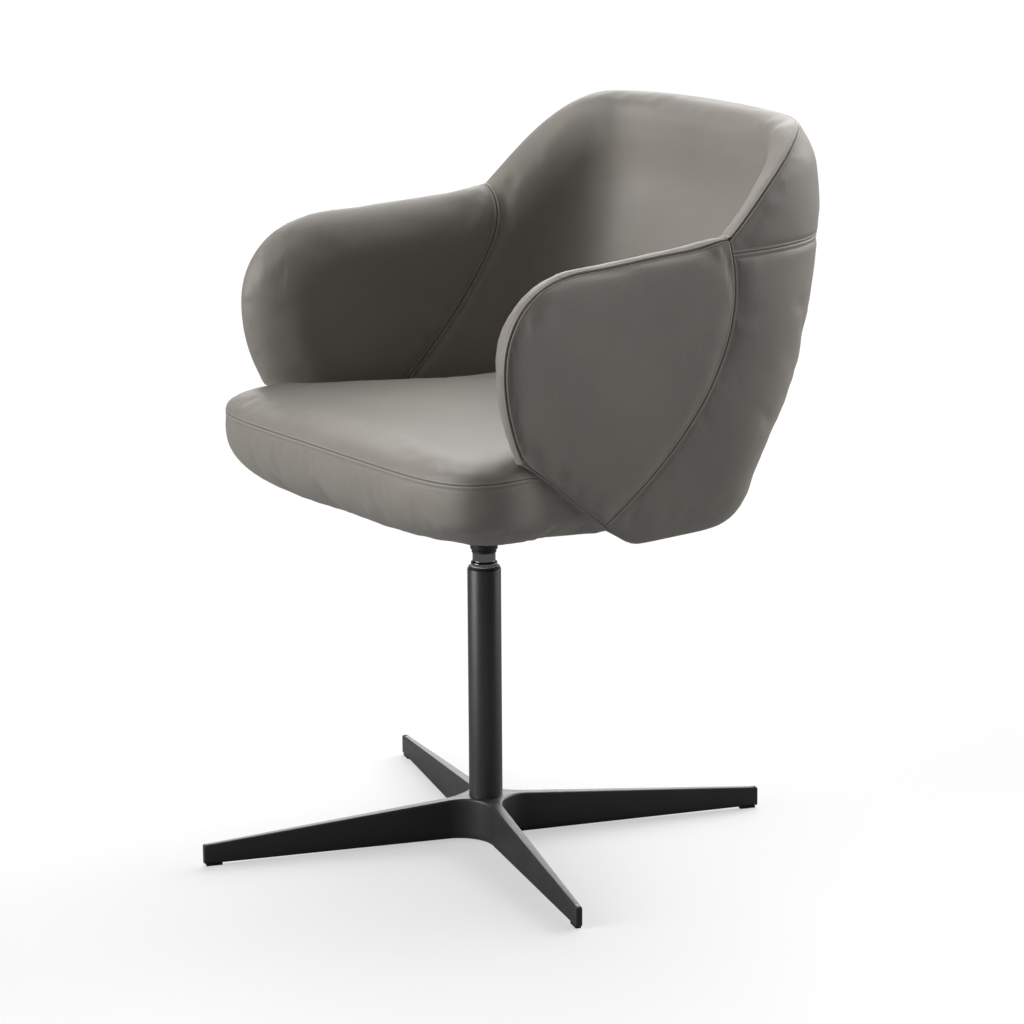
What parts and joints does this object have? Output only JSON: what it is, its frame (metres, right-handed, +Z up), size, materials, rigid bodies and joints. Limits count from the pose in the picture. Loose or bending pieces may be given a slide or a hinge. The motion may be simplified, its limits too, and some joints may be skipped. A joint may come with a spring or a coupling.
{
  "type": "pedestal swivel armchair",
  "caption": "Upholstered tub armchair with rolled rim and padded seat, turning on a slim column over a four-legged star base.",
  "frame": {"origin": "on the floor plane, on the column's axis", "axes": "+Z up along the column's axis, the sitter faces -Y, and the sitter's left hand is towards +X"},
  "size_m": [0.6324, 0.6792, 0.8115],
  "materials": {
    "taupe_leather": "smooth semi-matt leather, warm grey taupe, twin-stitched seams",
    "foam": "moulded upholstery foam, hidden under the covers",
    "black_coat": "satin black powder coat",
    "column_coat": "satin charcoal powder coat",
    "dark_chrome": "polished dark chrome",
    "zinc_steel": "zinc-plated steel fasteners",
    "black_nylon": "moulded black nylon",
    "white_acetal": "natural acetal washer",
    "plywood": "birch plywood",
    "underside_cloth": "black dust-cover cloth"
  },
  "bodies": {
    "base": {"star_base": "black_coat", "glide_1": "black_nylon", "glide_2": "black_nylon", "glide_3": "black_nylon", "glide_4": "black_nylon", "column_tube": "column_coat", "column_plug": "zinc_steel", "column_bolt": "zinc_steel", "bolt_washer": "zinc_steel", "hub_cap": "black_nylon", "lower_bush": "black_nylon", "upper_bush": "black_nylon", "thrust_washer": "white_acetal"},
    "seat": {"spindle": "dark_chrome", "spindle_circlip": "zinc_steel", "collar": "black_nylon", "seat_plate": "black_coat", "plate_screw_1": "zinc_steel", "plate_screw_2": "zinc_steel", "plate_screw_3": "zinc_steel", "plate_screw_4": "zinc_steel", "tee_nut_1": "zinc_steel", "tee_nut_2": "zinc_steel", "tee_nut_3": "zinc_steel", "tee_nut_4": "zinc_steel", "seat_pan": "plywood", "underside_cover": "underside_cloth", "shell_frame": "black_coat", "frame_screw_1": "zinc_steel", "frame_screw_2": "zinc_steel", "frame_screw_3": "zinc_steel", "seat_foam": "foam", "shell_foam": "foam", "seat_top_cover": "taupe_leather", "seat_border_cover": "taupe_leather", "left_arm_outer_cover": "taupe_leather", "right_arm_outer_cover": "taupe_leather", "left_arm_inner_cover": "taupe_leather", "right_arm_inner_cover": "taupe_leather", "back_inner_cover": "taupe_leather", "back_outer_upper_cover": "taupe_leather", "back_outer_lower_cover": "taupe_leather"}
  },
  "joints": [
    {"name": "seat_swivel", "type": "hinge", "parent": "base", "child": "seat", "pos_m": [0, 0, 0.316], "axis": [0, 0, 1], "continuous": true}
  ]
}
